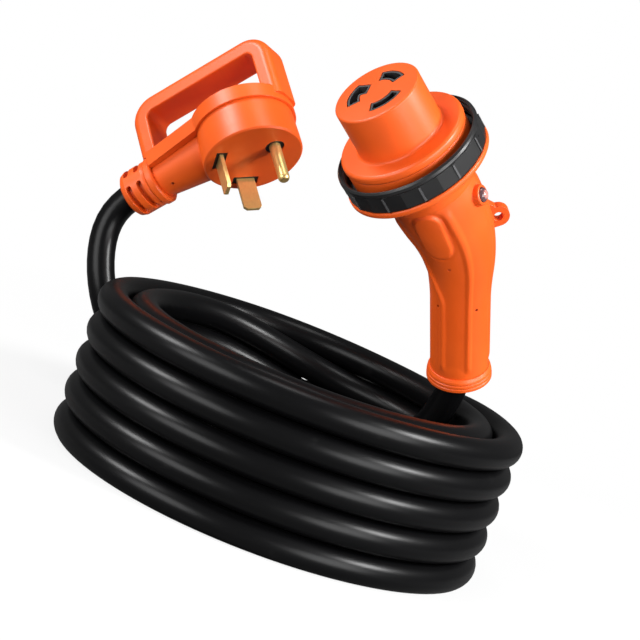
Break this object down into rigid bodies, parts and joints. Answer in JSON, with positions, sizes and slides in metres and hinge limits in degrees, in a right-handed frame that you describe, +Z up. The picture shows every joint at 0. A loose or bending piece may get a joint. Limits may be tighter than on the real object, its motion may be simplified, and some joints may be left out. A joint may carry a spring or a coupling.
{
  "type": "shore power cord",
  "caption": "Coiled heavy three-wire cable with a flat-blade D-handle plug on one end and an angled twist-lock connector with a turning locking ring on the other.",
  "frame": {"origin": "centre of the cable coil on the floor it stands on", "axes": "+Z up along the coil's axis; the connector's end is on the +X side, the plug's end on the -X side"},
  "size_m": [0.291, 0.2807, 0.2604],
  "materials": {
    "orange_pvc": "satin, fine grain",
    "black_core": "satin",
    "contact_frame": "satin",
    "brass": "bright",
    "line_insulation": "satin",
    "neutral_insulation": "satin",
    "ground_insulation": "satin",
    "cable_jacket": "satin",
    "ring_plastic": "satin",
    "lens": "clear",
    "indicator": "gloss",
    "board": "satin",
    "thin_wire": "satin",
    "grommet_rubber": "matte"
  },
  "bodies": {
    "cord": {"plug_body": "orange_pvc", "plug_handle": "orange_pvc", "plug_collar": "orange_pvc", "plug_strain_relief": "orange_pvc", "plug_core": "black_core", "line_blade": "brass", "neutral_blade": "brass", "ground_pin": "brass", "plug_line_wire": "line_insulation", "plug_neutral_wire": "neutral_insulation", "plug_ground_wire": "ground_insulation", "plug_lead": "cable_jacket", "cord_coil": "cable_jacket", "connector_lead": "cable_jacket", "connector_body": "orange_pvc", "connector_nose": "orange_pvc", "contact_carrier": "contact_frame", "line_contact": "brass", "neutral_contact": "brass", "ground_contact": "brass", "led_lens": "lens", "led": "indicator", "led_board": "board", "led_wires": "thin_wire", "connector_line_wire": "line_insulation", "connector_neutral_wire": "neutral_insulation", "connector_ground_wire": "ground_insulation", "grip_collar": "orange_pvc", "grip_grommet": "grommet_rubber"},
    "ring": {"locking_ring": "ring_plastic"}
  },
  "joints": [
    {"name": "locking_ring_spin", "type": "hinge", "parent": "cord", "child": "ring", "pos_m": [0.00728, -0.06489, 0.21762], "axis": [-0.6749, -0.4814, 0.5592], "continuous": true}
  ]
}
